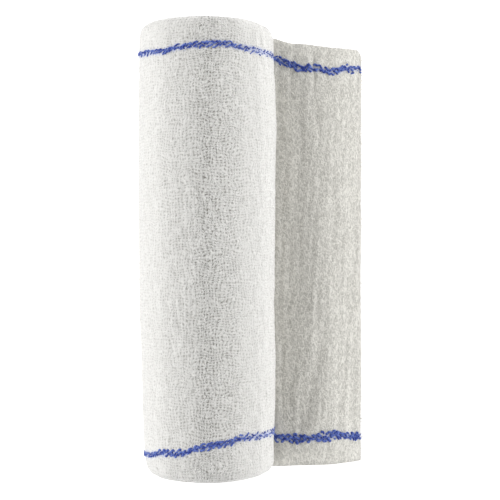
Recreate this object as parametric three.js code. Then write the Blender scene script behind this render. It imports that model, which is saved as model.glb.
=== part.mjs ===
// A crepe bandage: one woven strip of crinkled cotton, wound up and lying on its side, with its
// outer end let off. The strip leaves the roll low on its right side, arches over beside it and
// runs down to the surface. Millimetres. +Y runs along the roll, +X towards the loose end and
// +Z up. The origin is on the surface, under the middle of the roll.
import * as THREE from "three";

const { degToRad, lerp, smoothstep } = THREE.MathUtils;

// The cloth and the roll
const CLOTH_THICK = 1.2; // one layer, with its crinkle
const ROLL_LENGTH = 154.4; // the turns wander, so the roll is longer than the 150 mm wide cloth
const REST_SAG = 0.55; // how far the roll's weight flattens it along the line where it rests
const LEAVE_ANGLE = degToRad(50); // where the loose end leaves, measured round from the lowest line

// How far the roll reaches to each side of its axis: it was wound tighter towards -Y
const GIRTH = [
  { y: -70, left: 21.8, right: 23.1 },
  { y: -48, left: 22.5, right: 23.8 },
  { y: -15, left: 23.3, right: 23.4 },
  { y: 20, left: 23.5, right: 23.5 },
  { y: 45, left: 23.5, right: 24.0 },
  { y: 70, left: 23.5, right: 23.0 },
];

// How the outer turns round off at each end: how far in towards the axis, and how far along it
const ROUNDED_EDGE = {
  near: { left: { inward: 3.8, along: 8 }, right: { inward: 3, along: 4 } }, // the -Y end
  far: { left: { inward: 2.6, along: 5 }, right: { inward: 4, along: 6 } }, // the +Y end
};

// The loose end, seen along the roll: up to a crest, and down to its cut end on the surface
const CREST = { x: 26, z: 13.2 };
const CREST_LEAN = 1; // how much nearer to the roll the crest lies at the +Y end
const CUT_END = { x: 55, z: 0.35 }; // low enough to rest on a narrow flat of its own
const PEEL_REACH = 3.5; // how far the cloth keeps its direction after it leaves the roll
const CREST_REACH = { inner: 3, outer: 8.5 }; // how far it stays level on each side of the crest
const END_REACH = { x: 8, z: 4.6 }; // how it comes in to its cut end
const CORNER_RADIUS = 3; // the far corner of the cut end is rubbed round

// The two woven edges of the loose end, which runs a little askew
const WOVEN_EDGES = [
  { x: 20, near: -76.5, far: 76.5 },
  { x: 24, near: -76.7, far: 75.4 },
  { x: 33, near: -76.4, far: 73.2 },
  { x: 42, near: -76.6, far: 72.4 },
  { x: 55, near: -76.6, far: 72.6 },
];

// The soft troughs that cross the loose end
const CREASES = [
  { x0: 35.6, y0: 70, x1: 38.4, y1: 40, depth: 0.5, width: 2.4 },
  { x0: 31.5, y0: 16, x1: 31.0, y1: -24, depth: 0.6, width: 2.8 },
  { x0: 41.5, y0: -30, x1: 32.0, y1: -66, depth: 1.1, width: 2.6 },
];

// How finely the form is divided
const TURN_STEPS = 60;
const PEEL_STEPS = 6;
const FALL_STEPS = 13;
const FALL_CROWDING = 1.35; // the steps of the fall shorten towards the cut end
const LENGTH_STEPS = 28;

// Reads one column of a table at a place between its rows.
function readTable(table, key, column, at) {
  const next = table.findIndex((row) => row[key] > at);
  if (next === 0) return table[0][column];
  if (next < 0) return table[table.length - 1][column];
  const [a, b] = [table[next - 1], table[next]];
  return lerp(a[column], b[column], smoothstep(at, a[key], b[key]));
}

// How far the rounded edge draws in the surface at that place and angle.
function drawnIn(y, side) {
  const end = y < 0 ? ROUNDED_EDGE.near : ROUNDED_EDGE.far;
  const inward = lerp(end.left.inward, end.right.inward, side);
  const along = lerp(end.left.along, end.right.along, side);
  const into = 1 - (ROLL_LENGTH / 2 - Math.abs(y)) / along;
  return into > 0 ? inward * (1 - Math.sqrt(1 - into * into)) : 0;
}

// The roll's reach from its axis. The winding grows by one thickness of cloth in its last turn.
function rollRadius(y, angle) {
  const left = readTable(GIRTH, "y", "left", y);
  const right = readTable(GIRTH, "y", "right", y);
  const side = (1 + Math.sin(angle)) / 2; // 0 on the left of the roll, and 1 on its right
  const wound = (angle - LEAVE_ANGLE) / (2 * Math.PI) - 0.5;
  return lerp(left, right, side) + wound * CLOTH_THICK - drawnIn(y, side);
}

// The axis lies one sagged radius above the surface, so the flat it rests on is as wide all along.
function axisHeight(y) {
  return rollRadius(y, 2 * Math.PI) + drawnIn(y, 0.5) - REST_SAG;
}

function onRoll(y, angle, radius) {
  return new THREE.Vector2(radius * Math.sin(angle), axisHeight(y) - radius * Math.cos(angle));
}

// The last turn, from where it shows above the loose end round to where it leaves as that end.
function lastTurn(y) {
  return Array.from({ length: TURN_STEPS + 1 }, (_, i) => {
    const angle = LEAVE_ANGLE + (i / TURN_STEPS) * 2 * Math.PI;
    return onRoll(y, angle, rollRadius(y, angle));
  });
}

// The middle of the loose end's cloth, as two curves that meet level at the crest.
function looseEndCurves(y) {
  const root = onRoll(y, LEAVE_ANGLE, rollRadius(y, LEAVE_ANGLE) + CLOTH_THICK / 2);
  const off = new THREE.Vector2(Math.cos(LEAVE_ANGLE), Math.sin(LEAVE_ANGLE)).multiplyScalar(PEEL_REACH);
  const crest = new THREE.Vector2(CREST.x - (CREST_LEAN * y) / (ROLL_LENGTH / 2), CREST.z);
  const end = new THREE.Vector2(CUT_END.x, CUT_END.z);
  const peel = new THREE.CubicBezierCurve(
    root,
    root.clone().add(off),
    new THREE.Vector2(crest.x - CREST_REACH.inner, crest.y),
    crest,
  );
  const fall = new THREE.CubicBezierCurve(
    crest,
    new THREE.Vector2(crest.x + CREST_REACH.outer, crest.y),
    new THREE.Vector2(end.x - END_REACH.x, end.y + END_REACH.z),
    end,
  );
  return { peel, fall };
}

// The stations along the loose end, closer together towards its cut end, where a corner is round.
function looseEndStations(y) {
  const { peel, fall } = looseEndCurves(y);
  const onPeel = Array.from({ length: PEEL_STEPS }, (_, i) => [peel, (i + 1) / PEEL_STEPS]);
  const onFall = Array.from({ length: FALL_STEPS }, (_, i) => {
    const left = 1 - (i + 1) / FALL_STEPS;
    return [fall, 1 - left ** FALL_CROWDING];
  });
  return [...onPeel, ...onFall].map(([curve, t]) => {
    const along = curve.getTangent(t);
    return { at: curve.getPoint(t), up: new THREE.Vector2(-along.y, along.x) };
  });
}

// How deep the creases are at a place on the loose end.
function creaseDepth(x, y) {
  const place = new THREE.Vector3(x, y, 0);
  return CREASES.reduce((sum, crease) => {
    const start = new THREE.Vector3(crease.x0, crease.y0, 0);
    const end = new THREE.Vector3(crease.x1, crease.y1, 0);
    const nearest = new THREE.Line3(start, end).closestPointToPoint(place, true, new THREE.Vector3());
    return sum + crease.depth * Math.exp(-((nearest.distanceTo(place) / crease.width) ** 2));
  }, 0);
}

// Where the far edge ends at that station, with the corner of the cut end taken round.
function farEdge(x) {
  const edge = readTable(WOVEN_EDGES, "x", "far", x);
  const past = Math.max(0, x - (CUT_END.x - CORNER_RADIUS));
  return edge - (CORNER_RADIUS - Math.sqrt(Math.max(0, CORNER_RADIUS ** 2 - past ** 2)));
}

// One closed outline of the whole bandage, across the roll. share runs from -1 at the near end
// to 1 at the far end.
function outlineAt(share) {
  const rollY = (share * ROLL_LENGTH) / 2;
  const place = (point, y, sink) => new THREE.Vector3(point.x, y, Math.max(0, point.y - sink));
  const turn = lastTurn(rollY).map((point) => place(point, rollY, 0));
  const layer = looseEndStations(rollY).map(({ at, up }) => {
    const y = lerp(readTable(WOVEN_EDGES, "x", "near", at.x), farEdge(at.x), (share + 1) / 2);
    const sink = creaseDepth(at.x, y);
    const face = (side) => place(at.clone().addScaledVector(up, (side * CLOTH_THICK) / 2), y, sink);
    return { under: face(-1), over: face(1) };
  });
  const under = layer.map((station) => station.under);
  const over = layer.map((station) => station.over);
  return [...turn, ...under, ...over.reverse()];
}

// Joins outlines with the same number of points into one closed skin, and closes its two ends.
function skinOver(outlines) {
  const around = outlines[0].length;
  const faces = [];
  for (let row = 0; row + 1 < outlines.length; row++)
    for (let i = 0; i < around; i++) {
      const [a, b] = [row * around + i, row * around + ((i + 1) % around)];
      faces.push(a, a + around, b + around, a, b + around, b);
    }
  const closeEnd = (row, facesNear) => {
    const flat = outlines[row].map((point) => new THREE.Vector2(point.x, point.z));
    for (const [a, b, c] of THREE.ShapeUtils.triangulateShape(flat, [])) {
      const corners = [a, b, c].map((i) => i + row * around);
      faces.push(...(facesNear ? corners : corners.reverse()));
    }
  };
  closeEnd(0, true);
  closeEnd(outlines.length - 1, false);
  return new THREE.BufferGeometry().setFromPoints(outlines.flat()).setIndex(faces);
}

// The sections lie closer together towards the ends of the roll, where its edges round off.
function crepeBandage() {
  const shares = Array.from({ length: LENGTH_STEPS + 1 }, (_, i) =>
    Math.sin(Math.PI * (i / LENGTH_STEPS - 0.5)),
  );
  const crepe = new THREE.MeshStandardMaterial({ color: 0xdedcd4, roughness: 0.95, metalness: 0 });
  const mesh = new THREE.Mesh(skinOver(shares.map(outlineAt)), crepe);
  mesh.name = "crepe_bandage";
  return mesh;
}

const bandage = new THREE.Group();
bandage.add(crepeBandage());

export default bandage;
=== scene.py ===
# %% [markdown]
# # A crepe bandage, rolled, with its loose end let off
# A crepe bandage is one strip of open, crinkled cotton. Here it lies on its side, seen from
# above. We load the measured frame first, because every piece takes its place from it.

import math

import bmesh
import bpy
import numpy as np
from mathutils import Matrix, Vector


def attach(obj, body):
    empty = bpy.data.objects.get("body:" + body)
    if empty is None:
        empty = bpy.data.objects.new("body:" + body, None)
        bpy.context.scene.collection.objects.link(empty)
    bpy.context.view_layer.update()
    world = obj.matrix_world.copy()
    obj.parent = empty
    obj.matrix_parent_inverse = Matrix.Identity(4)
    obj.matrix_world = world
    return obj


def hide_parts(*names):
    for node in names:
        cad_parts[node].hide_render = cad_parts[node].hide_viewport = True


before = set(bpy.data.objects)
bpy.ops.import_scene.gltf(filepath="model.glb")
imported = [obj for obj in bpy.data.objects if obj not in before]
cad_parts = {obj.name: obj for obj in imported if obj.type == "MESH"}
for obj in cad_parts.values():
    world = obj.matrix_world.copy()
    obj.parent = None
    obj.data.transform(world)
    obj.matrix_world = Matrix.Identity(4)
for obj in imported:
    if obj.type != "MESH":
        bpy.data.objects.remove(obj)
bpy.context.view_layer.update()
MM = 0.001

# %% [markdown]
# ## The strip's own measures
# Everything is placed by where it lies on the strip of cloth: how far from the cut end, and how
# far across. Those two numbers are what a maker would mark on the cloth with chalk. The sizes
# below start from the solid's. The roll's reach and the loose end's arch were then moved by up to
# 2 mm, to match the photograph.

# %% Measures of the strip and the roll, in millimetres
LAYER = 1.2  # what one layer takes up in the roll, crinkle and air included
CLOTH_THICK = 0.85  # the cloth itself, flat under a finger
HALF_WIDTH = 75.0  # half the cloth's width
ROLL_HALF = 77.2  # half the roll's length, over its wandering turns
REST_SAG = 0.55  # how far the roll flattens on the line it rests on
LEAVE_ANGLE = math.radians(50)  # where the loose end leaves, round from the lowest line
ROLL_REACH = 23.6  # the roll's mean reach from its axis
LOWEST_WOUND = 0.5 - LEAVE_ANGLE / (2 * math.pi)  # layers wound on by then, at the lowest line

# Reach to each side of the axis: the roll was wound tighter towards -Y
GIRTH_Y = [-70, -48, -15, 20, 45, 70]
GIRTH_LEFT = [21.8, 22.5, 23.5, 23.8, 23.7, 23.5]
GIRTH_RIGHT = [23.6, 24.3, 23.9, 24.1, 24.5, 23.5]

# How the outer turn's edge rounds off: inward to the axis and along it, left and right of the roll
ROUND_NEAR = {"inward": (3.8, 3.0), "along": (8.0, 4.0)}
ROUND_FAR = {"inward": (2.6, 4.0), "along": (5.0, 6.0)}
RIM_FADE = 5.0  # how deep into the roll the rounding reaches

# The loose end in section
CREST_X, CREST_Z, CREST_LEAN = 24.6, 12.8, 1.0
CUT_X, CUT_Z = 55.0, 0.35
PEEL_REACH = 3.5
CREST_INNER, CREST_OUTER = 2.6, 12.0
END_REACH_X, END_REACH_Z = 12.0, 11.6
CORNER_RADIUS = 3.0  # the far corner of the cut end

# Lengths along the strip, counted from the cut end
FALL_LENGTH = 34.0  # from the cut end up to the crest
PEEL_LENGTH = 8.2  # from the crest back to where it leaves the roll
TAIL_LENGTH = FALL_LENGTH + PEEL_LENGTH
TURN_LENGTH = 2 * math.pi * ROLL_REACH
OUTER_LENGTH = TAIL_LENGTH + TURN_LENGTH * 7 / 6  # it ends one turn in, below the roll
print(f"tail {TAIL_LENGTH:.0f} mm, one turn {TURN_LENGTH:.0f} mm")

# %% [markdown]
# ## Where the woven edges and the blue lines run
# The strip was wound by hand, so it wanders from side to side and its two blue lines wander with
# it. A short table, with a row where an edge or a line bends, is enough: the curve between the
# rows is eased.

# %% Edges and blue lines along the strip
EDGE_PLACES = [0, 3, 14, 27, 37, 45, 60, 114, 127, 137, 144, 150, 156, 164, 186, 230]
EDGE_NEAR = [-76.6, -76.6, -76.6, -76.4, -76.7, -77.0, -77.2, -77.2, -77.2, -77.2, -77.1, -76.9,
             -76.7, -76.5, -76.3, -76.2]
EDGE_FAR = [72.6, 72.6, 72.4, 73.2, 75.4, 76.6, 77.2, 77.2, 77.2, 77.2, 77.2, 77.2, 77.1, 77.0,
            76.6, 76.2]

# The blue lines, traced on the photograph by a scratch program, then thinned out and rounded by
# hand to half a millimetre
LINE_PLACES = [0, 6, 14, 24, 34, 50, 101, 110, 120, 127, 133, 141, 149, 160, 200]
LINE_NEAR = [-67.5, -67, -66.5, -67, -66.5, -68, -70.5, -69.5, -68, -67.5, -65.5, -64, -62.5, -62.5, -63]
LINE_FAR = [66, 65.5, 64, 64.5, 67.5, 67, 67.5, 66.5, 66, 67, 67.5, 68, 67, 66.5, 66.5]


def eased(at, places, values):
    """Reads a table at some places, with an eased step between its rows."""
    places, values = np.asarray(places, float), np.asarray(values, float)
    row = np.clip(np.searchsorted(places, at, side="right") - 1, 0, len(places) - 2)
    step = np.clip((at - places[row]) / (places[row + 1] - places[row]), 0, 1)
    step = step * step * (3 - 2 * step)
    return values[row] + (values[row + 1] - values[row]) * step


def lumps(along, across, seed):
    """Smooth random lumps from -1 to 1, one to each whole step along and across."""
    table = np.random.default_rng(seed).uniform(-1, 1, (97, 89))
    i, j = np.floor(along).astype(int), np.floor(across).astype(int)
    fi, fj = along - i, across - j
    fi, fj = fi * fi * (3 - 2 * fi), fj * fj * (3 - 2 * fj)
    low = table[i % 97, j % 89] * (1 - fj) + table[i % 97, (j + 1) % 89] * fj
    high = table[(i + 1) % 97, j % 89] * (1 - fj) + table[(i + 1) % 97, (j + 1) % 89] * fj
    return low * (1 - fi) + high * fi


print("blue lines stand", LINE_FAR[0] - LINE_NEAR[0], "mm apart at the cut end")

# %% [markdown]
# ## Winding the strip
# A flat piece of cloth becomes a roll when each of its points is sent to its wound place. The
# winding is a spiral: one layer further in for each turn. Near the ends the outer turns are drawn
# in, which rounds the roll's rims.

# %% The wound place of a point on the strip


def drawn_in(y, side):
    """How far the rounded rim draws the outer turn in, at that place along and round the roll."""
    near = y < 0
    inward = np.where(near, ROUND_NEAR["inward"][0], ROUND_FAR["inward"][0]) * (1 - side)
    inward = inward + np.where(near, ROUND_NEAR["inward"][1], ROUND_FAR["inward"][1]) * side
    along = np.where(near, ROUND_NEAR["along"][0], ROUND_FAR["along"][0]) * (1 - side)
    along = along + np.where(near, ROUND_NEAR["along"][1], ROUND_FAR["along"][1]) * side
    into = np.clip(1 - (ROLL_HALF - np.abs(y)) / along, 0, 1)
    return inward * (1 - np.sqrt(1 - into * into))


def girth(y, side):
    left, right = eased(y, GIRTH_Y, GIRTH_LEFT), eased(y, GIRTH_Y, GIRTH_RIGHT)
    return left * (1 - side) + right * side


def axis_height(y):
    return girth(y, 0.5) + LAYER * LOWEST_WOUND - REST_SAG


def spiral_turns(inside):
    """Turns of a spiral that have used up so many outer turns' length of cloth."""
    shrink = LAYER / ROLL_REACH
    used = np.clip(inside * 2 * shrink, -0.5, 0.9999)
    return (1 - np.sqrt(1 - used)) / shrink


def spiral_depth(inside):
    return spiral_turns(inside) * LAYER


def on_roll(strip_place, y):
    """x, z and the outward direction of the cloth's middle on the roll."""
    inside = (strip_place - TAIL_LENGTH) / TURN_LENGTH  # turns in from where the loose end leaves
    depth = spiral_depth(inside)
    angle = LEAVE_ANGLE - 2 * math.pi * spiral_turns(inside)
    side = (1 + np.sin(angle)) / 2
    fade = np.exp(-np.maximum(depth - LAYER, 0) / RIM_FADE)
    reach = girth(y, side) * (1 - depth / ROLL_REACH) - drawn_in(y, side) * fade
    x, z = reach * np.sin(angle), axis_height(y) - reach * np.cos(angle)
    below = np.maximum(depth - LAYER * (0.5 - LOWEST_WOUND), 0)  # cloth between it and the table
    floor = LAYER / 2 + below - REST_SAG * (1 - np.exp(-below / LAYER / 3))
    return x, np.maximum(z, floor), np.sin(angle), -np.cos(angle)


def bezier(points, t):
    (ax, az), (bx, bz), (cx, cz), (dx, dz) = points
    k0, k1, k2, k3 = (1 - t) ** 3, 3 * t * (1 - t) ** 2, 3 * t * t * (1 - t), t**3
    x, z = k0 * ax + k1 * bx + k2 * cx + k3 * dx, k0 * az + k1 * bz + k2 * cz + k3 * dz
    s0, s1, s2 = 3 * (1 - t) ** 2, 6 * t * (1 - t), 3 * t * t
    along_x = s0 * (bx - ax) + s1 * (cx - bx) + s2 * (dx - cx)
    along_z = s0 * (bz - az) + s1 * (cz - bz) + s2 * (dz - cz)
    size = np.hypot(along_x, along_z)
    return x, z, along_z / size, -along_x / size


def even_share(share, points):
    """The share of a curve's own measure where that share of its length is used up."""
    steps = np.linspace(0, 1, 101)
    x, z, _, _ = bezier(points, steps)
    used = np.concatenate([[0], np.cumsum(np.hypot(np.diff(x), np.diff(z)))])
    return np.interp(share, used / used[-1], steps)


def on_loose_end(strip_place, y):
    """x, z and the outward direction of the loose end: outward is its underside."""
    root_x, root_z, out_x, out_z = on_roll(np.full_like(y, TAIL_LENGTH), y)
    off_x, off_z = -out_z * PEEL_REACH, out_x * PEEL_REACH
    crest_x = CREST_X - CREST_LEAN * y / ROLL_HALF
    peel = [(root_x, root_z), (root_x + off_x, root_z + off_z),
            (crest_x - CREST_INNER, CREST_Z), (crest_x, CREST_Z)]
    end = [(CUT_X - END_REACH_X, CUT_Z + END_REACH_Z), (CUT_X, CUT_Z)]
    fall = [(crest_x, CREST_Z), (crest_x + CREST_OUTER, CREST_Z), *end]
    middle_fall = [(CREST_X, CREST_Z), (CREST_X + CREST_OUTER, CREST_Z), *end]
    on_fall = strip_place < FALL_LENGTH
    fallen_share = even_share(np.clip(1 - strip_place / FALL_LENGTH, 0, 1), middle_fall)
    fallen = bezier(fall, fallen_share)
    peeled = bezier(peel, np.clip(1 - (strip_place - FALL_LENGTH) / PEEL_LENGTH, 0, 1))
    return [np.where(on_fall, a, b) for a, b in zip(fallen, peeled)]


def woven_edges(strip_place):
    """Where the two woven edges lie. The far corner of the cut end is rubbed round."""
    past = np.clip(CORNER_RADIUS - strip_place, 0, CORNER_RADIUS)
    rubbed = CORNER_RADIUS - np.sqrt(CORNER_RADIUS**2 - past**2)
    far = eased(strip_place, EDGE_PLACES, EDGE_FAR) - rubbed
    return eased(strip_place, EDGE_PLACES, EDGE_NEAR), far


def wind(strip_place, across, out=0.0):
    """Sends points of the strip to their wound place. across runs from -1 to 1, and out is how
    far they stand off the middle of the cloth, in millimetres."""
    strip_place, across = np.broadcast_arrays(np.asarray(strip_place, float), across)
    near, far = woven_edges(strip_place)
    y = (near * (1 - across) + far * (1 + across)) / 2
    share_y = across * ROLL_HALF
    roll, tail = on_roll(strip_place, share_y), on_loose_end(strip_place, share_y)
    x, z, out_x, out_z = [np.where(strip_place < TAIL_LENGTH, b, a) for a, b in zip(roll, tail)]
    return np.stack([x + out * out_x, y, z + out * out_z], axis=-1), np.stack([out_x, out_z], axis=-1)


test, _ = wind(np.array([0.0, TAIL_LENGTH, TAIL_LENGTH + TURN_LENGTH]), 0.0)
print("cut end, leaving place and one turn in, mm:", test.round(1).tolist())

# %% [markdown]
# ## The crinkle of the crepe
# Crepe is woven with hard-twisted yarns that shrink along the strip when it is washed, so the
# cloth puckers into small ridges that run across it. They are real relief, about a third of a
# millimetre high, so they go in the mesh: a bump alone would leave the outline smooth.

# %% Crinkle and creases
PUCKER_ON_ROLL = {"along": 1.1, "across": 3.6, "high": 0.12}  # half a ridge, its run, its height
PUCKER_ON_TAIL = {"along": 1.45, "across": 21.0, "high": 0.13}
FINE_PUCKER = {"along": 0.75, "across": 1.7, "high": 0.06}
SLANT_ON_ROLL = 0.26  # the ridges lean over by this much for each millimetre across
SLANT_ON_TAIL = 0.06
SWELL = 0.05  # slow unevenness under the ridges

# The soft troughs and ridges of the loose end: where each runs on the surface below it, how deep it
# is and how wide
CREASES = [
    {"x": (41.0, 32.2), "y": (-30, -66), "deep": 0.6, "wide": 2.7},
    {"x": (36.4, 30.6), "y": (-34, -54), "deep": -0.12, "wide": 2.0},
    {"x": (31.6, 31.0), "y": (16, -24), "deep": 0.15, "wide": 1.8},
    {"x": (37.2, 37.4), "y": (68, 60), "deep": 0.4, "wide": 0.5},
    {"x": (37.4, 38.6), "y": (60, 42), "deep": 0.12, "wide": 0.9},
    {"x": (28.4, 29.4), "y": (61, 53), "deep": 0.12, "wide": 0.9},
    {"x": (38.8, 37.0), "y": (2, -24), "deep": -0.16, "wide": 0.8},
]


def slackness(strip_place):
    """One on the loose end, falling to none where the roll pulls the cloth tight."""
    return np.clip((TAIL_LENGTH + 10 - strip_place) / 20, 0, 1)


def pucker(strip_place, wide, size, slant, seed):
    along = strip_place + slant * wide + 0.9 * lumps(strip_place / 5, wide / 7, seed + 1)
    first = lumps(along / size["along"], wide / size["across"], seed)
    second = lumps(along / size["along"] + 0.5, wide / size["across"] + 0.5, seed + 2)
    return size["high"] * (first + second)


def crinkle(strip_place, across):
    """How far the cloth's middle stands out from its smooth form there, in millimetres."""
    wide = across * HALF_WIDTH
    tail = slackness(strip_place)
    ridges = pucker(strip_place, wide, PUCKER_ON_ROLL, SLANT_ON_ROLL, 11) * (1 - tail)
    ridges = ridges + pucker(strip_place, wide, PUCKER_ON_TAIL, SLANT_ON_TAIL, 21) * tail
    ridges = ridges + pucker(strip_place, wide, FINE_PUCKER, SLANT_ON_ROLL, 31) * (1 - 0.5 * tail)
    uneven = SWELL * (1 - tail) * lumps(strip_place / 14, wide / 19, 41)
    swell = SWELL * tail * lumps(strip_place / 8, wide / 40, 51)
    return ridges + uneven + swell * np.clip(strip_place / 6, 0, 1)


def crease_depth(places):
    """How deep the loose end's creases are under some points, in millimetres."""
    x, y = places[..., 0], places[..., 1]
    depth = np.zeros_like(x)
    for crease in CREASES:
        (x0, x1), (y0, y1) = crease["x"], crease["y"]
        run_x, run_y = x1 - x0, y1 - y0
        share = np.clip(((x - x0) * run_x + (y - y0) * run_y) / (run_x**2 + run_y**2), 0, 1)
        away = np.hypot(x - x0 - share * run_x, y - y0 - share * run_y)
        depth = depth + crease["deep"] * np.exp(-((away / crease["wide"]) ** 2))
    return depth


def lay_cloth(strip_place, across, out=0.0):
    """The finished place of points of the strip: wound, crinkled and creased, in metres."""
    places, outward = wind(strip_place, across, crinkle(strip_place, across) + out)
    on_tail = np.clip((TAIL_LENGTH - 4 - strip_place) / 6, 0, 1)
    places[..., 2] -= crease_depth(places) * on_tail
    places[..., 2] = np.maximum(places[..., 2], CLOTH_THICK / 2)
    return places * MM


# %% [markdown]
# ## The outer turn and the loose end
# The piece of the strip that shows is one sheet: the loose end, and one turn and a bit of the
# roll. It starts as a flat grid, which is then wound. The grid is fine where the cloth shows and
# coarser under the roll. Solidify gives it its thickness, so its woven edge is a real edge.

# %% Make a sheet from a stretch of the strip


def spaced(*stretches):
    """Places along the strip: each stretch is (from, to, step)."""
    parts = [np.arange(a, b, step) for a, b, step in stretches]
    return np.append(np.concatenate(parts), stretches[-1][1])


def sheet_from_strip(name, places, across, put_in_place):
    """A flat grid of cloth, sent point by point to its place. Its UV map keeps the flat cloth:
    metres along the strip, and metres across it."""
    grid = bmesh.new()
    bmesh.ops.create_grid(grid, x_segments=len(places) - 1, y_segments=len(across) - 1, size=0.5)
    mesh = bpy.data.meshes.new(name)
    grid.to_mesh(mesh)
    grid.free()
    flat = np.empty(len(mesh.vertices) * 3)
    mesh.vertices.foreach_get("co", flat)
    flat = flat.reshape(-1, 3)
    i = np.rint((flat[:, 0] + 0.5) * (len(places) - 1)).astype(int)
    j = np.rint((flat[:, 1] + 0.5) * (len(across) - 1)).astype(int)
    along, wide = places[i], across[j]
    mesh.vertices.foreach_set("co", put_in_place(along, wide).ravel())
    corners = np.empty(len(mesh.loops), int)
    mesh.loops.foreach_get("vertex_index", corners)
    chart = np.stack([along[corners] * MM, wide[corners] * HALF_WIDTH * MM], axis=-1)
    mesh.uv_layers.new(name="cloth").data.foreach_set("uv", chart.ravel())
    mesh.update()
    piece = bpy.data.objects.new(name, mesh)
    bpy.context.collection.objects.link(piece)
    for face in mesh.polygons:
        face.use_smooth = True
    return piece, along, wide


OUTER_PLACES = spaced((0, 3, 0.3), (3, 45, 0.5), (45, 80, 1.2), (80, 190, 0.5), (190, OUTER_LENGTH, 1.4))
OUTER_ACROSS = np.linspace(-1, 1, 131)
outer, outer_along, outer_wide = sheet_from_strip(
    "outer_turn_and_loose_end", OUTER_PLACES, OUTER_ACROSS, lay_cloth
)
print(outer.name, "quads in one face:", len(outer.data.polygons))

# %% [markdown]
# ## The inner turns
# Seen from its ends, the roll is a tight spiral of cloth edges, none quite level with the next.
# The same strip goes on inwards, fine along its two edges and coarse between, where it is hidden.

# %% Wind the inner turns
FILLED = 0.997  # the share of the roll's section that the spiral fills
INNER_LENGTH = FILLED * math.pi * ROLL_REACH**2 / LAYER
CORE_LENGTH = 60.0  # the tight turns at the core, which need finer steps
EDGE_ROWS = [0, 0.006, 0.016, 0.035, 0.07, 0.13, 0.25]  # shares of the width in from an edge

# How the turns' edges stand, in millimetres
TURN_WANDER, TURN_WAVE = 0.9, 0.5  # from one turn to the next, and within a turn
RAGGED_EDGE, EDGE_BULGE = 0.22, 0.16
DISHED = 1.05  # how far the middle turns stand in


def lay_inner(strip_place, across):
    """Places of the inner turns, whose edges stand a little in or out from turn to turn."""
    inside = (strip_place - TAIL_LENGTH) / TURN_LENGTH
    turns = spiral_turns(inside)
    wander = TURN_WANDER * lumps(turns * 1.7, across * 0 + 3.5, 61)
    wander = wander + TURN_WAVE * lumps(turns * 9, across * 0, 62)
    ragged = RAGGED_EDGE * lumps(strip_place / 0.8, across * 0 + 0.5, 63)
    width = HALF_WIDTH - DISHED * np.exp(-(((turns - 9) / 4) ** 2))
    y = across * (width + ragged) + wander
    x, z, out_x, out_z = on_roll(strip_place, across * 75.5)
    near_edge = np.abs(across) ** 20
    bulge = EDGE_BULGE * lumps(strip_place / 1.4, across * 3 + 7, 64) * near_edge
    places = np.stack([x + bulge * out_x, y, z + bulge * out_z], axis=-1)
    places[..., 2] = np.maximum(places[..., 2], CLOTH_THICK / 2)
    return places * MM


inner_across = np.array([-1 + 2 * row for row in EDGE_ROWS])
inner_across = np.concatenate([inner_across, -inner_across[::-1]])
INNER_START = OUTER_LENGTH + 0.4
CORE_START, CORE_END = TAIL_LENGTH + INNER_LENGTH - CORE_LENGTH, TAIL_LENGTH + INNER_LENGTH
inner_places = spaced((INNER_START, CORE_START, 1.3), (CORE_START, CORE_END, 0.5))
inner, inner_along, inner_wide = sheet_from_strip("inner_turns", inner_places, inner_across, lay_inner)
print("inner turns:", round(inner_places[-1] - inner_places[0]), "mm of strip")

for sheet in (outer, inner):
    wall = sheet.modifiers.new("thickness", "SOLIDIFY")
    wall.thickness = CLOTH_THICK * MM
    wall.offset = 0
    wall.use_rim = True

# %% [markdown]
# ## The blue lines
# Near each edge a few blue yarns are woven in with the white ones. They could be painted on, but
# a real yarn goes over one cross thread and under the next, so a line breaks up into short
# stitches with a shadow beside each. So every blue yarn is a round curve that follows the cloth.
# The yarns of a line zigzag together, but no two keep step in their stitches.

# %% Weave in the blue yarns
WEFT_PITCH = 1.1  # from one cross thread to the next
BLUE_YARNS = 4
YARN_PLACES = np.arange(0.25, 196.0, 0.2)

# How far a blue yarn strays from its line, in millimetres, and how much more where it is slack
KINK, FINE_KINK, ZIGZAG, STITCH_SWING = 0.42, 0.3, 0.15, 0.2
SLACK_STRAYS = 0.3
STITCH_DRIFT = 1.6  # how far its stitches fall out of step, in radians
LONG_FLOATS, SUNK_FLOATS = 0.35, 0.45  # what lengthens its stitches, and what shortens them
YARN_LIFT = 0.14  # how far its middle rises above the cloth's face

# Half the width of a blue line, and how thick its yarns are, from the cut end inwards
WIDTH_PLACES = [0, 4, 16, 34, 60, 104, 114, 122, 136, 146, 154, 168, 196]
LINE_HALF = [0.92, 1.12, 1.38, 1.22, 0.85, 0.55, 0.78, 0.92, 1.0, 1.0, 1.0, 0.95, 0.9]
YARN_THICK = [0.62, 0.7, 0.8, 0.78, 0.6, 0.42, 0.48, 0.58, 0.6, 0.5, 0.36, 0.32, 0.3]


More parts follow.
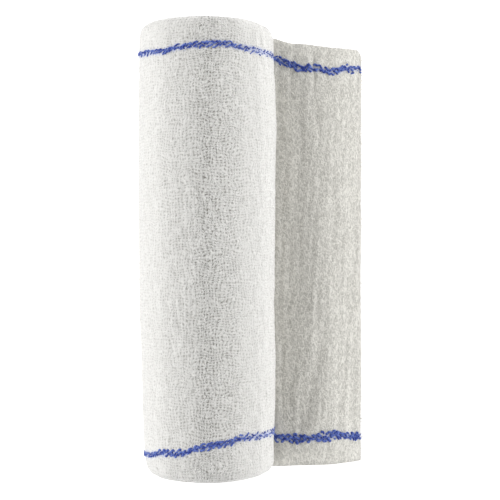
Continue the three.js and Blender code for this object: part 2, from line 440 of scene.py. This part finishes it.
def yarn_route(line, number, bold, line_seed):
    """The middle of one blue yarn, in metres, and its radius at each point."""
    seed = line_seed + 10 * number
    beside = 2 * number / (BLUE_YARNS - 1) - 1
    same = YARN_PLACES * 0 + number
    half = bold * eased(YARN_PLACES, WIDTH_PLACES, LINE_HALF)
    thick = bold * eased(YARN_PLACES, WIDTH_PLACES, YARN_THICK)
    near, far = woven_edges(YARN_PLACES)
    slack = np.clip((TAIL_LENGTH - YARN_PLACES) / 10, 0, 1)
    kink = (KINK + SLACK_STRAYS * slack) * lumps(YARN_PLACES / 1.1, same, seed)
    kink = kink + FINE_KINK * lumps(YARN_PLACES / 0.55, same, seed + 1)
    drift = STITCH_DRIFT * lumps(YARN_PLACES / 3.0, same, seed + 2)
    weave = math.pi * YARN_PLACES / WEFT_PITCH - 2.5 * number + drift
    y = eased(YARN_PLACES, LINE_PLACES, line) + beside * (half - thick / 2) * 0.9
    zigzag = (ZIGZAG + SLACK_STRAYS * slack) * lumps(YARN_PLACES / 1.25, same * 0, line_seed)
    y = y + zigzag + kink + STITCH_SWING * np.sin(weave + 0.8)
    shown = np.clip((YARN_PLACES - 40) / 10, -1, 1)  # the loose end shows the other face
    sunk = np.clip((YARN_PLACES - 146) / 14, 0, 1)  # down the roll's right the line sinks in
    uneven_floats = (0.6 + 0.5 * slack) * lumps(YARN_PLACES / 1.6, same, seed + 3)
    float_longer = LONG_FLOATS - SUNK_FLOATS * sunk + uneven_floats
    lift = np.tanh(2.2 * (np.cos(weave) + float_longer))
    thick = thick * (1 + 0.3 * lumps(YARN_PLACES / 0.7, same, seed + 4))
    out = shown * (CLOTH_THICK / 2 + YARN_LIFT) * lift
    return lay_cloth(YARN_PLACES, (2 * y - near - far) / (far - near), out), thick / 2


def round_yarn(name, sides):
    """An empty curve object for yarns whose radius is given in millimetres at each point."""
    curve = bpy.data.curves.new(name, "CURVE")
    curve.dimensions = "3D"
    curve.bevel_depth = MM
    curve.bevel_resolution = sides
    curve.use_fill_caps = True
    yarn = bpy.data.objects.new(name, curve)
    bpy.context.collection.objects.link(yarn)
    return yarn


def add_spline(curve, points, radius):
    spline = curve.splines.new("POLY")
    spline.points.add(len(points) - 1)
    spline.points.foreach_set("co", np.column_stack([points, np.ones(len(points))]).ravel())
    spline.points.foreach_set("radius", radius)


yarns = []
for edge, line, bold, line_seed in (("near", LINE_NEAR, 1.22, 71), ("far", LINE_FAR, 1.05, 171)):
    for number in range(BLUE_YARNS):
        yarn = round_yarn(f"blue_yarn_{edge}_{number}", sides=1)
        add_spline(yarn.data, *yarn_route(line, number, bold, line_seed))
        yarns.append(yarn)
print(len(yarns), "blue yarns of", len(YARN_PLACES), "points each")

# %% [markdown]
# ## The frayed cut end
# The strip was cut straight across, so its lengthwise yarns end there in a short soft fringe. A
# particle system could grow it, but these ends must lie down on the table, so each one is a short
# curve of five points that thins out to its tip. One curve object holds them all, as one piece.

# %% Fray the cut end
FRAYED_ENDS = 150
END_THICK = 0.42  # a loose cotton yarn, before it thins out
END_SHARES = np.array([0.9, 1.0, 0.8, 0.5, 0.15])  # how thick it is at each of its points


def frayed_end(across, generator):
    """Points from just inside the cut edge to the tip, in metres."""
    inside_edge, edge = lay_cloth(np.array([0.8, 0.1]), np.full(2, across))
    reach = generator.uniform(0.3, 1.5) * MM
    sway = generator.uniform(-0.6, 0.6) * MM
    points = [inside_edge, edge]
    for share in (0.4, 0.75, 1.0):
        height = max(edge[2] * (1 - 0.4 * share), 0.22 * MM)
        points.append((edge[0] + reach * share, edge[1] + sway * share**2, height))
    return np.array(points)


def fray_cut_end(name, seed):
    generator = np.random.default_rng(seed)
    ends = round_yarn(name, sides=0)
    for number in range(FRAYED_ENDS):
        across = -0.985 + 1.965 * (number + generator.uniform(-0.4, 0.4)) / (FRAYED_ENDS - 1)
        thick = END_THICK * generator.uniform(0.6, 1.1)
        add_spline(ends.data, frayed_end(across, generator), END_SHARES * thick / 2)
    return ends


frayed = fray_cut_end("frayed_cut_end", 301)
print(FRAYED_ENDS, "yarn ends stand out of the cut edge by up to 1.5 mm")

# %% [markdown]
# ## Marks on the cloth
# The cloth is the same all over, but it doesn't lie the same all over: where the roll is pulled
# tight its weave opens into pits, and the loose end is slack and curly. We could mix several
# materials. It is simpler to write four values on the mesh, like a painter's mask, and let one
# material read them: how slack the cloth is, how open its weave shows, which also sets the painted
# shade in its pits, how far in from a blue line it is, and how deep it lies between two puckers,
# which sets the painted shade in the hollows.

# %% Mark the cloth
# How open the weave shows along the strip, which also sets its painted pit shade: most on the crown, where
# the light grazes, less on the flanks that face the lamps, and least on the loose end
OPEN_PLACES = [0, 40, 50, 96, 106, 117, 124, 130, 136, 143, 151, 159, 168, 176, 200]
OPEN_AND_PIT_SHADE = [0.2, 0.2, 0.3, 0.38, 0.38, 0.38, 0.6, 0.66, 0.98, 0.8, 0.4, 0.36, 0.5, 0.4, 0.3]
LINE_REACH = 9  # the mark for a blue line is kept within so many millimetres of it
RIDGE_TO_HOLLOW_SHADE = 2.2  # how fast the painted shade of the hollows falls with each millimetre of ridge


def mark(piece, name, values):
    piece.data.attributes.new(name, "FLOAT", "POINT").data.foreach_set("value", values)


def inside_lines(along, across):
    """How far in from each blue line, in millimetres: less than none in that line's margin."""
    low, high = woven_edges(along)
    y = (low * (1 - across) + high * (1 + across)) / 2
    near, far = eased(along, LINE_PLACES, LINE_NEAR), eased(along, LINE_PLACES, LINE_FAR)
    return np.clip(y - near, -LINE_REACH, LINE_REACH), np.clip(far - y, -LINE_REACH, LINE_REACH)


def openness_and_pit_shade(along, across):
    """How open the weave shows, which also sets how strong the painted shade in its pits is. The margins get
    more of it, most at the near edge, as painted shade on the rims, where the turns curve away from the
    light.
    """
    from_near, from_far = inside_lines(along, across)
    far_margin, near_margin = np.clip(-from_far / 3, 0, 1), np.clip(-from_near / 3, 0, 1)
    return eased(along, OPEN_PLACES, OPEN_AND_PIT_SHADE) * (1 + 0.1 * far_margin + 0.15 * near_margin)


for sheet, along, across in ((outer, outer_along, outer_wide), (inner, inner_along, inner_wide)):
    slack = slackness(along)
    ridge = crinkle(along, across) * (1 - 2 * slack)  # the loose end shows the cloth's other face
    mark(sheet, "slack", slack)
    # The open mark also sets how strong the painted shade in the pits is
    mark(sheet, "open", openness_and_pit_shade(along, across))
    mark(sheet, "inside", np.minimum(*inside_lines(along, across)))
    # The hollow mark is painted shade between the puckers
    mark(sheet, "hollow_shade", np.clip(0.5 - RIDGE_TO_HOLLOW_SHADE * ridge, 0, 1))
print("marked", outer.name, "and", inner.name, "with slack, open, inside and hollow")

# %% [markdown]
# ## Two helpers for materials
# We write colours as a paint chart does, in hex, and the shaders want them as linear light. The
# second helper adds one node with its settings and its links, so that a material reads as a list
# of steps.

# %% Colour and node helpers


def linear(code):
    """A hex colour as linear light."""
    shades = [int(code[i : i + 2], 16) / 255 for i in (1, 3, 5)]
    return [s / 12.92 if s <= 0.04045 else ((s + 0.055) / 1.055) ** 2.4 for s in shades] + [1]


def add(tree, kind, inputs=None, **settings):
    """Adds a node with its settings, and its inputs from values or from other nodes."""
    made = tree.nodes.new(kind)
    for name, value in settings.items():
        setattr(made, name, value)
    for name, value in (inputs or {}).items():
        if isinstance(value, bpy.types.Node):
            value = value.outputs[0]
        if isinstance(value, bpy.types.NodeSocket):
            tree.links.new(value, made.inputs[name])
        else:
            made.inputs[name].default_value = value
    return made


def empty_material(name):
    material = bpy.data.materials.new(name)
    material.use_nodes = True
    material.node_tree.nodes.clear()
    return material, material.node_tree


print("bleached cotton as linear light:", [round(value, 3) for value in linear("#e3e2df")[:3]])

# %% [markdown]
# ## Crepe: the weave
# The cloth is plain-woven cotton: about ten threads to the centimetre lengthwise and nine across.
# The flat cloth's UV map is in metres, so a sine with half a wave to each thread gives ridges of
# the right size. Where the product of the two sines is positive the lengthwise thread lies on
# top, and where it is negative the cross thread does. Hard-twisted threads never lie straight, so
# two noises bend them: 7 mm waves, and kinks of under 2 mm that grow where the cloth is slack.

# %% Threads over and under each other
WARP_STEP = 0.00098  # from one lengthwise thread to the next
WEFT_STEP = 0.00112  # from one cross thread to the next
THREAD_WAVES, THREAD_KINKS = 140.0, 600.0  # to the metre
THREAD_BEND = 0.0040  # how far the waves move a thread, in metres
KINK_TIGHT, KINK_SLACK = 0.0014, 0.0030  # how far the kinks do
WARP_OVER, WEFT_OVER = 0.6, -0.45  # what a crossing adds to each thread's height


def bent_threads(tree, chart, slack):
    """The place on the flat cloth, counted in threads along and across."""
    mix, vector = {"operation": "MULTIPLY_ADD"}, "ShaderNodeVectorMath"
    waves = add(tree, "ShaderNodeTexNoise", {"Vector": chart, "Scale": THREAD_WAVES, "Detail": 1.0})
    kinks = add(tree, "ShaderNodeTexNoise", {"Vector": chart, "Scale": THREAD_KINKS, "Detail": 2.0})
    room = {"Value": slack, "To Min": KINK_TIGHT, "To Max": KINK_SLACK}
    room = add(tree, "ShaderNodeMapRange", room)
    place = add(tree, vector, {0: waves.outputs["Color"], 1: (THREAD_BEND,) * 3, 2: chart}, **mix)
    place = add(tree, vector, {0: kinks.outputs["Color"], 1: room, 2: place}, **mix)
    count = {0: place, 1: (math.pi / WEFT_STEP, math.pi / WARP_STEP, 0)}
    return add(tree, "ShaderNodeSeparateXYZ", {0: add(tree, vector, count, operation="MULTIPLY")})


def weave_height(tree, chart, slack):
    """How high the upper thread stands there: nothing in a gap, and about 1.5 on a crossing."""
    number = "ShaderNodeMath"
    count = bent_threads(tree, chart, slack)
    weft = add(tree, number, {0: count.outputs[0]}, operation="SINE")
    warp = add(tree, number, {0: count.outputs[1]}, operation="SINE")
    over = add(tree, number, {0: weft, 1: warp}, operation="MULTIPLY")
    weft_ridge = add(tree, number, {0: weft}, operation="ABSOLUTE")
    warp_ridge = add(tree, number, {0: warp}, operation="ABSOLUTE")
    weft_high = add(tree, number, {0: over, 1: WEFT_OVER, 2: weft_ridge}, operation="MULTIPLY_ADD")
    warp_high = add(tree, number, {0: over, 1: WARP_OVER, 2: warp_ridge}, operation="MULTIPLY_ADD")
    return add(tree, number, {0: warp_high, 1: weft_high}, operation="MAXIMUM")


print(round(0.01 / WARP_STEP), "threads to the centimetre lengthwise,", round(0.01 / WEFT_STEP), "across")

# %% [markdown]
# ## Crepe: curled yarn
# When the hard-twisted yarn is let go it curls into small loops that lie on the weave. Modelled
# one by one they would be far too many. The level lines of a smooth noise wind about in just
# that way, so we draw a light line wherever a noise is near its middle value. Loops of about
# 1.3 mm and of 0.9 mm are laid over each other, and both are drawn out across the strip.

# %% Curled yarn
BIG_CURLS, SMALL_CURLS = 780.0, 1150.0  # to the metre
CURL_STRETCH = 0.58


def curl_lines(tree, chart, to_the_metre, shift):
    """One on the curled yarn, falling to none between its loops."""
    tall = {0: chart, 1: (1.0, CURL_STRETCH, 0.0), 2: (shift, 0.0, 0.0)}
    tall = add(tree, "ShaderNodeVectorMath", tall, operation="MULTIPLY_ADD")
    noise = {"Vector": tall, "Scale": to_the_metre, "Detail": 1.0, "Distortion": 0.7}
    noise = add(tree, "ShaderNodeTexNoise", noise)
    off = add(tree, "ShaderNodeMath", {0: noise, 1: 0.5}, operation="SUBTRACT")
    off = add(tree, "ShaderNodeMath", {0: off}, operation="ABSOLUTE")
    line = {"Value": off, "From Max": 0.08, "To Min": 1.0, "To Max": 0.0}
    return add(tree, "ShaderNodeMapRange", line)


def curled_yarn(tree, chart):
    big = curl_lines(tree, chart, BIG_CURLS, 0.0)
    small = curl_lines(tree, chart, SMALL_CURLS, 0.3)
    return add(tree, "ShaderNodeMath", {0: small, 1: 0.7, 2: big}, operation="MULTIPLY_ADD")


print("loops of about", round(1000 / BIG_CURLS, 1), "and", round(1000 / SMALL_CURLS, 1), "mm")

# %% [markdown]
# ## Crepe: painted shade
# White cotton looks darkest in the gaps between its threads, where shade falls, and that shade is
# painted into the colour. Weave, curls and a 1 mm fuzz are added to one height, a slower noise closes
# some of the gaps so that no two are alike, and the margins outside the blue lines are woven closer.
# What is still low after that is a pit. Painted shade darkens the pits where the weave is open, the
# space between curls on the slack cloth, and the hollows between puckers, which are a little darker
# than their ridges.

# %% Height and painted shade of the cloth
WEAVE_SHARE, CURL_SHARE, FUZZ_SHARE = 1.0, 0.35, 1.2
CLOSED_SPOTS, FUZZ = 400.0, 1000.0  # to the metre
CLOSED_BY, MARGIN_CLOSED_BY = 0.2, 0.15  # the height that fills a closed gap, and a margin's
PIT_LOW, PIT_HIGH = 0.8, 1.85  # the heights of a pit's floor and its rim: its painted shade is full below the one and gone above the other
CURL_GAP_SHADE_TIGHT, CURL_GAP_SHADE_SLACK = 0.10, 0.37  # how much painted shade the space between curls gets, on tight and on slack cloth
# How much painted shade the hollows between puckers get, on tight and on slack cloth
HOLLOW_SHADE_TIGHT, HOLLOW_SHADE_SLACK = 0.05, 0.18


def cloth_height(tree, chart, marks, curls):
    number, ranged, step = "ShaderNodeMath", "ShaderNodeMapRange", {"operation": "MULTIPLY_ADD"}
    margin = add(tree, ranged, {"Value": marks["inside"], "From Min": -0.5, "From Max": -3.0})
    unlike = add(tree, "ShaderNodeTexNoise", {"Vector": chart, "Scale": CLOSED_SPOTS, "Detail": 2.0})
    closed = {"Value": unlike, "From Min": 0.38, "From Max": 0.62, "To Max": CLOSED_BY}
    closed = add(tree, number, {0: margin, 1: MARGIN_CLOSED_BY, 2: add(tree, ranged, closed)}, **step)
    fuzz = {"Vector": chart, "Scale": FUZZ, "Detail": 1.5, "Roughness": 0.55, "Distortion": 1.2}
    fuzz = add(tree, "ShaderNodeTexNoise", fuzz)
    high = weave_height(tree, chart, marks["slack"])
    high = add(tree, number, {0: high, 1: WEAVE_SHARE, 2: closed}, **step)
    high = add(tree, number, {0: curls, 1: CURL_SHARE, 2: high}, **step)
    return add(tree, number, {0: fuzz, 1: FUZZ_SHARE, 2: high}, **step)


# Painted shade: in the pits, in the space between curls and in the hollows between puckers
def cloth_painted_shade(tree, marks, curls, high):
    number, ranged, step = "ShaderNodeMath", "ShaderNodeMapRange", {"operation": "MULTIPLY_ADD"}
    pit_shade_amount = {"Value": high, "From Min": PIT_LOW, "From Max": PIT_HIGH, "To Min": 1.0, "To Max": 0.0}
    pit_shade_amount = add(tree, number, {0: add(tree, ranged, pit_shade_amount), 1: marks["open"]}, operation="MULTIPLY")
    # Painted shade in the space between curls, more on the slack loose end
    curl_gap_shade = {"Value": curls, "From Max": 1.1, "To Min": 1.0, "To Max": 0.0}
    curl_gap_shade = add(tree, ranged, curl_gap_shade)
    curl_gap_shade_share = {"Value": marks["slack"], "To Min": CURL_GAP_SHADE_TIGHT, "To Max": CURL_GAP_SHADE_SLACK}
    curl_gap_shade_share = add(tree, ranged, curl_gap_shade_share)
    # Painted shade in the hollows between puckers
    hollow_shade_share = {"Value": marks["slack"], "To Min": HOLLOW_SHADE_TIGHT, "To Max": HOLLOW_SHADE_SLACK}
    hollow_shade_share = add(tree, ranged, hollow_shade_share)
    dark = add(tree, number, {0: curl_gap_shade, 1: curl_gap_shade_share, 2: pit_shade_amount}, **step)
    return add(tree, number, {0: marks["hollow_shade"], 1: hollow_shade_share, 2: dark}, **step)


print("a pit is darkest under height", PIT_LOW, "and gone above", PIT_HIGH)

# %% [markdown]
# ## Crepe: the material
# Bleached cotton is a matt, slightly warm white. The loose end shows the cloth's other face, and
# its creamier, warmer tint is painted, standing in for the warm cast of its shade. Beside the blue
# lines some of the dye shows through the cloth. Cotton has no gloss to speak of, so it is rough, with
# a low specular level, and its fine fibres catch light at a grazing angle, which is what sheen is
# for. A bump of a quarter of a millimetre raises the threads; it is weaker where the weave is closed.

# %% Bleached cotton crepe
THREAD_RELIEF = 0.00024
CURLS_RAISED = 0.5  # how far the curls stand up beside the weave
CLOSED_WEAVE, CLOSED_RELIEF = 0.3, 0.3  # how open a closed weave is, and its share of relief
DYE_RAGS = 900.0  # to the metre
DYE_STRAYS = 1.3  # how far the dye's edge strays, in millimetres
DYE_FULL, DYE_GONE = 0.3, 1.5  # millimetres from the middle of a blue line
DYE_DEPTH = 0.6


def cloth_tone(tree, chart, marks, painted_shade, colours):
    """The cloth's colour: its two faces, the loose end's being a warmer tint of painted shade, the dye
    beside the lines, and the painted shade of its pits, curl gaps and hollows.
    """
    ranged, blend = "ShaderNodeMapRange", "ShaderNodeMix"
    ragged = add(tree, "ShaderNodeTexNoise", {"Vector": chart, "Scale": DYE_RAGS, "Detail": 2.0})
    ragged = add(tree, ranged, {"Value": ragged, "To Min": -DYE_STRAYS, "To Max": DYE_STRAYS})
    away = add(tree, "ShaderNodeMath", {0: marks["inside"], 1: ragged}, operation="ADD")
    away = add(tree, "ShaderNodeMath", {0: away}, operation="ABSOLUTE")
    dye = {"Value": away, "From Min": DYE_FULL, "From Max": DYE_GONE}
    dye.update({"To Min": DYE_DEPTH, "To Max": 0.0})
    dye = add(tree, ranged, dye)
    # The loose end's creamier, warmer tint is painted warm shade
    tone = {0: marks["slack"], 6: linear(colours["face"]), 7: linear(colours["loose_end_warm_shade"])}
    tone = add(tree, blend, tone, data_type="RGBA").outputs[2]
    tone = add(tree, blend, {0: dye, 6: tone, 7: linear(colours["dye"])}, data_type="RGBA").outputs[2]
    # Painted shade darkens the cloth towards the pit colour
    tone = {0: painted_shade, 6: tone, 7: linear(colours["pit_shade"])}
    return add(tree, blend, tone, data_type="RGBA").outputs[2]


def matt_cotton(tree, tone, bump):
    """Cotton yarn under light: rough, nearly without gloss, and with the sheen of its fibres."""
    shader = add(tree, "ShaderNodeBsdfPrincipled", {"Base Color": tone, "Normal": bump})
    shader.inputs["Roughness"].default_value = 0.9
    shader.inputs["Sheen Weight"].default_value = 0.3
    shader.inputs["Sheen Roughness"].default_value = 0.5
    shader.inputs["Specular IOR Level"].default_value = 0.2
    add(tree, "ShaderNodeOutputMaterial", {"Surface": shader})


def crepe_cotton(name, colours):
    material, tree = empty_material(name)
    chart = add(tree, "ShaderNodeUVMap", uv_map="cloth")
    marks = {}
    for mark_name in ("slack", "open", "inside", "hollow_shade"):
        read = add(tree, "ShaderNodeAttribute", attribute_name=mark_name)
        marks[mark_name] = read.outputs["Fac"]
    curls = curled_yarn(tree, chart)
    high = cloth_height(tree, chart, marks, curls)
    # The painted shade of the pits, the curl gaps and the hollows
    painted_shade = cloth_painted_shade(tree, marks, curls, high)
    raised = add(tree, "ShaderNodeMath", {0: curls, 1: CURLS_RAISED, 2: high}, operation="MULTIPLY_ADD")
    relief = {"Value": marks["open"], "From Min": CLOSED_WEAVE, "To Min": CLOSED_RELIEF}
    relief = add(tree, "ShaderNodeMapRange", relief)
    bump = {"Height": raised, "Distance": THREAD_RELIEF, "Strength": relief}
    bump = add(tree, "ShaderNodeBump", bump)
    matt_cotton(tree, cloth_tone(tree, chart, marks, painted_shade, colours), bump)
    return material


# The loose end's creamier colour is painted warm shade
# The pit colour is painted shade, for the gaps of the weave, between the curls and between the puckers
CREPE_COLOURS = {"face": "#e3e2df", "loose_end_warm_shade": "#eae8e1", "pit_shade": "#83817a", "dye": "#8ea0dc"}
crepe = crepe_cotton("bleached_cotton_crepe", CREPE_COLOURS)
outer.data.materials.append(crepe)
inner.data.materials.append(crepe)
print(crepe.name, "has", len(crepe.node_tree.nodes), "nodes")

# %% [markdown]
# ## Spun yarn
# The blue yarns and the white yarn ends are plied cotton, dyed as yarn or bleached. Dye never takes
# evenly on a spun yarn, so the colour wanders between a deep and a worn tone in patches of about
# a millimetre, and a finer noise gives the fibres. A yarn has no flat cloth to read, so these
# patterns use Object coordinates.

# %% Dyed and bleached yarn
DYE_PATCHES, FIBRES = 1100.0, 2600.0  # to the metre
FIBRE_RELIEF = 0.0001


def spun_cotton(name, deep, worn):
    material, tree = empty_material(name)
    place = add(tree, "ShaderNodeTexCoord").outputs["Object"]
    patches = add(tree, "ShaderNodeTexNoise", {"Vector": place, "Scale": DYE_PATCHES, "Detail": 3.0})
    patches = {"Value": patches, "From Min": 0.4, "From Max": 0.6}
    patches = add(tree, "ShaderNodeMapRange", patches)
    tone = {0: patches, 6: linear(deep), 7: linear(worn)}
    tone = add(tree, "ShaderNodeMix", tone, data_type="RGBA").outputs[2]
    fibres = add(tree, "ShaderNodeTexNoise", {"Vector": place, "Scale": FIBRES, "Detail": 2.0})
    bump = add(tree, "ShaderNodeBump", {"Height": fibres, "Distance": FIBRE_RELIEF, "Strength": 0.7})
    matt_cotton(tree, tone, bump)
    return material


blue_yarn_cotton = spun_cotton("blue_dyed_cotton_yarn", "#24378b", "#6479bf")
white_yarn_cotton = spun_cotton("bleached_cotton_yarn", "#d2d1cc", "#eceae5")
for yarn in yarns:
    yarn.data.materials.append(blue_yarn_cotton)
frayed.data.materials.append(white_yarn_cotton)
print("yarn materials:", blue_yarn_cotton.name, "and", white_yarn_cotton.name)

# %% [markdown]
# ## The table
# The bandage lies on a plain white table. A photographer lights such a table from below until it
# is pure white, so ours gives off some light of its own, which also fills the underside of the
# roll. It is ten metres wide, so that its edge is never near.

# %% A lit white table
TABLE_GLOW = 0.5
TABLE_GRAIN = 900.0  # to the metre


def lit_table(name, colour, glow):
    material, tree = empty_material(name)
    place = add(tree, "ShaderNodeTexCoord").outputs["Object"]
    grain = add(tree, "ShaderNodeTexNoise", {"Vector": place, "Scale": TABLE_GRAIN, "Detail": 2.0})
    grain = add(tree, "ShaderNodeMapRange", {"Value": grain, "To Min": 0.42, "To Max": 0.58})
    shader = {"Base Color": linear(colour), "Roughness": grain, "Specular IOR Level": 0.1}
    shader = add(tree, "ShaderNodeBsdfPrincipled", shader)
    shader.inputs["Emission Color"].default_value = (1, 1, 1, 1)
    shader.inputs["Emission Strength"].default_value = glow
    add(tree, "ShaderNodeOutputMaterial", {"Surface": shader})
    return material


grid = bmesh.new()
bmesh.ops.create_grid(grid, x_segments=1, y_segments=1, size=5.0)
table_mesh = bpy.data.meshes.new("table")
grid.to_mesh(table_mesh)
grid.free()
table = bpy.data.objects.new("table", table_mesh)
bpy.context.collection.objects.link(table)
table.data.materials.append(lit_table("matt_white_acrylic", "#f4f4f4", TABLE_GLOW))
print("the table is", table.dimensions.x, "m wide")

# %% [markdown]
# ## Soft light
# The photograph's roll is bright on both flanks and darker along its crown, and the loose end is
# darkest beside the roll. So the light comes from both sides: two soft boxes high on the left,
# one high on the right, and two low on the right that reach the cut end. A white sky fills in
# the rest.

# %% Soft boxes and sky
SKY = 0.35
BOX_SIZE = (0.5, 0.15)
BOX_AWAY = 0.9  # metres from the roll
LIT_POINT = Vector((0.01, 0, 0.02))

# Which side of the roll a box stands on, how many degrees up, how far along, and its watts. The
# watts come from a fit to the photograph's tones, rounded to a tenth.
SOFT_BOXES = {
    "left_high_far": {"side": -1, "up": 45, "along": 0.45, "watts": 4.4},
    "left_high_near": {"side": -1, "up": 45, "along": -0.45, "watts": 4.4},
    "right_high_far": {"side": 1, "up": 45, "along": 0.45, "watts": 1.3},
    "right_low_far": {"side": 1, "up": 12, "along": 0.45, "watts": 4.1},
    "right_low_near": {"side": 1, "up": 12, "along": -0.45, "watts": 2.9},
}


def soft_box(name, side, up, along, watts):
    lamp = bpy.data.lights.new(name, "AREA")
    lamp.shape = "RECTANGLE"
    lamp.size, lamp.size_y = BOX_SIZE
    lamp.energy = watts
    raised = math.radians(up)
    out, height = BOX_AWAY * math.cos(raised), BOX_AWAY * math.sin(raised)
    box = bpy.data.objects.new(name, lamp)
    box.location = (side * out, along, height + LIT_POINT.z)
    box.rotation_euler = (LIT_POINT - box.location).to_track_quat("-Z", "Y").to_euler()
    box.visible_camera = False
    bpy.context.collection.objects.link(box)


for box_name, box_place in SOFT_BOXES.items():
    soft_box(box_name, **box_place)

sky = bpy.data.worlds.new("white_sky")
sky.use_nodes = True
sky.node_tree.nodes["Background"].inputs["Color"].default_value = (1, 1, 1, 1)
sky.node_tree.nodes["Background"].inputs["Strength"].default_value = SKY
bpy.context.scene.world = sky
bpy.context.scene.view_settings.view_transform = "Standard"
print(len(SOFT_BOXES), "soft boxes,", round(sum(box["watts"] for box in SOFT_BOXES.values()), 1), "W in all")

# %% [markdown]
# ## The camera
# The photograph was taken from straight above, close enough that the roll's near flank hides part
# of the loose end. The lens and the height give the roll the size that it has in the picture.

# %% Camera
CAMERA_HEIGHT = 0.470
CAMERA_X = 0.0148  # the picture's middle lies right of the roll's axis
LENS = 92.74  # millimetres, for a sensor 36 mm wide
camera = bpy.data.objects.new("camera", bpy.data.cameras.new("camera"))
camera.data.sensor_width = 36
camera.data.lens = LENS
camera.location = (CAMERA_X, 0, CAMERA_HEIGHT)
bpy.context.collection.objects.link(camera)
bpy.context.scene.camera = camera
print("the camera looks down from", CAMERA_HEIGHT, "m")

# %% [markdown]
# ## Attach the pieces
# Every piece rides on the one body of the object and stands for its one solid, which is hidden.

details = [*yarns, frayed]
for piece in [outer, inner, *details]:
    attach(piece, "root")
    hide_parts("crepe_bandage")
